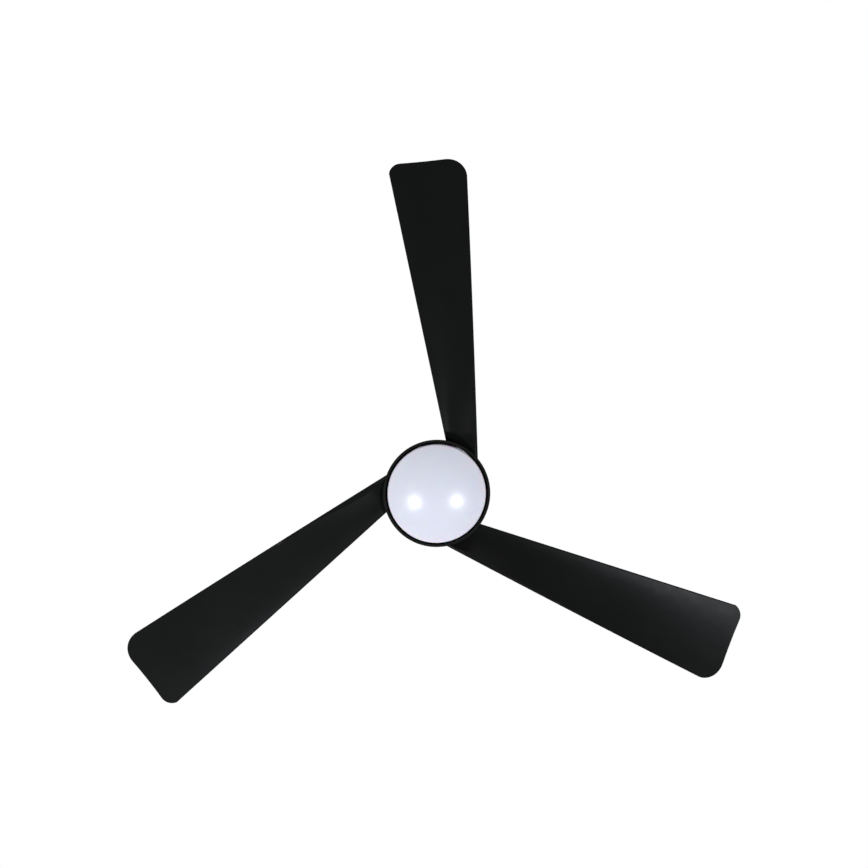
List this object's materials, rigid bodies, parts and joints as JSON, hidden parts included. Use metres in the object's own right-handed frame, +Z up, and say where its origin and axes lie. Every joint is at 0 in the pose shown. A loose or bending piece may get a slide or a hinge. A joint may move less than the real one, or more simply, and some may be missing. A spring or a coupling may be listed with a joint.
{
  "type": "ceiling fan with light",
  "caption": "Ceiling fan on a downrod and ball joint, with interlocking moulded blades on a turning hub and a fixed round light under it.",
  "frame": {"origin": "centre of the mounting bracket's top face, on the ceiling plane, on the downrod's axis", "axes": "+Z up, along the downrod and the rotor's axis; +X along the line of the two ceiling slots; blade_1 points along +Y"},
  "size_m": [1.1029, 0.984, 0.296],
  "materials": {
    "black_abs": "moulded with a fine even texture, satin",
    "black_trim": "moulded, satin",
    "black_paint": "fine-textured black powder coat",
    "opal": "opal white, lightly glossy outside",
    "zinc_steel": "zinc-plated pressed steel",
    "fasteners": "zinc-plated",
    "black_fasteners": "black oxide",
    "ball_nylon": "black glass-filled nylon",
    "liner_rubber": "grey-black rubber",
    "terminal_nylon": "white nylon",
    "receiver_shell": "white moulded, satin",
    "lead_sheath": "black flexible sheath",
    "cast_iron_coupling": "as cast, machined bores",
    "ground_steel": "ground",
    "cage_nylon": "natural nylon",
    "cast_aluminium": "die cast",
    "laminated_steel": "stacked sheet, edges showing",
    "insulator": "off-white nylon",
    "copper": "enamelled copper wire",
    "ferrite": "dark sintered magnet",
    "board_white": "white solder mask on aluminium board",
    "led_phosphor": "yellow phosphor"
  },
  "bodies": {
    "ceiling": {"mounting_bracket": "zinc_steel", "earth_screw": "fasteners", "terminal_block": "terminal_nylon", "receiver_module": "receiver_shell", "receiver_screws": "fasteners", "canopy": "black_paint", "canopy_screws": "black_fasteners", "canopy_trim_ring": "black_trim"},
    "ball_liner": {"ball_seat_liner": "liner_rubber"},
    "drop": {"hanger_ball": "ball_nylon", "hanger_pin": "fasteners", "ball_set_screw": "fasteners", "downrod": "black_paint", "lead_bundle": "lead_sheath", "lead_plug": "terminal_nylon", "coupling_cover": "black_paint", "motor_coupling": "cast_iron_coupling", "coupling_pin": "fasteners", "coupling_clip": "fasteners", "coupling_set_screws": "fasteners", "motor_shaft": "ground_steel", "stator_spider": "cast_aluminium", "stator_core": "laminated_steel", "stator_insulators": "insulator", "stator_windings": "copper", "upper_bearing_inner": "ground_steel", "lower_bearing_inner": "ground_steel", "lower_spacer": "ground_steel", "light_pan": "zinc_steel", "shaft_washer": "fasteners", "shaft_nut": "fasteners", "board_standoffs": "cast_aluminium", "led_board": "board_white", "board_screws": "fasteners", "led_chips": "led_phosphor", "board_connector": "terminal_nylon"},
    "rotor": {"upper_bearing_outer": "ground_steel", "lower_bearing_outer": "ground_steel", "rotor_upper_bell": "cast_aluminium", "rotor_lower_bell": "cast_aluminium", "rotor_ring": "laminated_steel", "rotor_magnets": "ferrite", "housing_screws": "fasteners", "hub_top_cover": "black_abs", "top_cover_screws": "black_fasteners", "blade_1": "black_abs", "blade_2": "black_abs", "blade_3": "black_abs", "blade_screws": "fasteners", "blade_washers": "fasteners"},
    "upper_cage": {"upper_bearing_balls": "ground_steel", "upper_bearing_cage": "cage_nylon"},
    "lower_cage": {"lower_bearing_balls": "ground_steel", "lower_bearing_cage": "cage_nylon"},
    "light_cover": {"diffuser": "opal"}
  },
  "joints": [
    {"name": "swing_x", "type": "hinge", "parent": "ceiling", "child": "ball_liner", "pos_m": [0, 0, -0.04], "axis": [1, 0, 0], "range_deg": [-12, 12]},
    {"name": "swing_y", "type": "hinge", "parent": "ball_liner", "child": "drop", "pos_m": [0, 0, -0.04], "axis": [0, 1, 0], "range_deg": [-12, 12]},
    {"name": "rotor_spin", "type": "hinge", "parent": "drop", "child": "rotor", "pos_m": [0, 0, -0.232], "axis": [0, 0, 1], "continuous": true},
    {"name": "upper_cage_spin", "type": "hinge", "parent": "drop", "child": "upper_cage", "pos_m": [0, 0, -0.21], "axis": [0, 0, 1], "continuous": true},
    {"name": "lower_cage_spin", "type": "hinge", "parent": "drop", "child": "lower_cage", "pos_m": [0, 0, -0.245], "axis": [0, 0, 1], "continuous": true},
    {"name": "cover_twist", "type": "hinge", "parent": "drop", "child": "light_cover", "pos_m": [0, 0, -0.264], "axis": [0, 0, 1], "range_deg": [0, 20]}
  ],
  "couplings": [
    {"joint": "upper_cage_spin", "follows": "rotor_spin", "ratio": 0.61842},
    {"joint": "lower_cage_spin", "follows": "rotor_spin", "ratio": 0.61842}
  ]
}
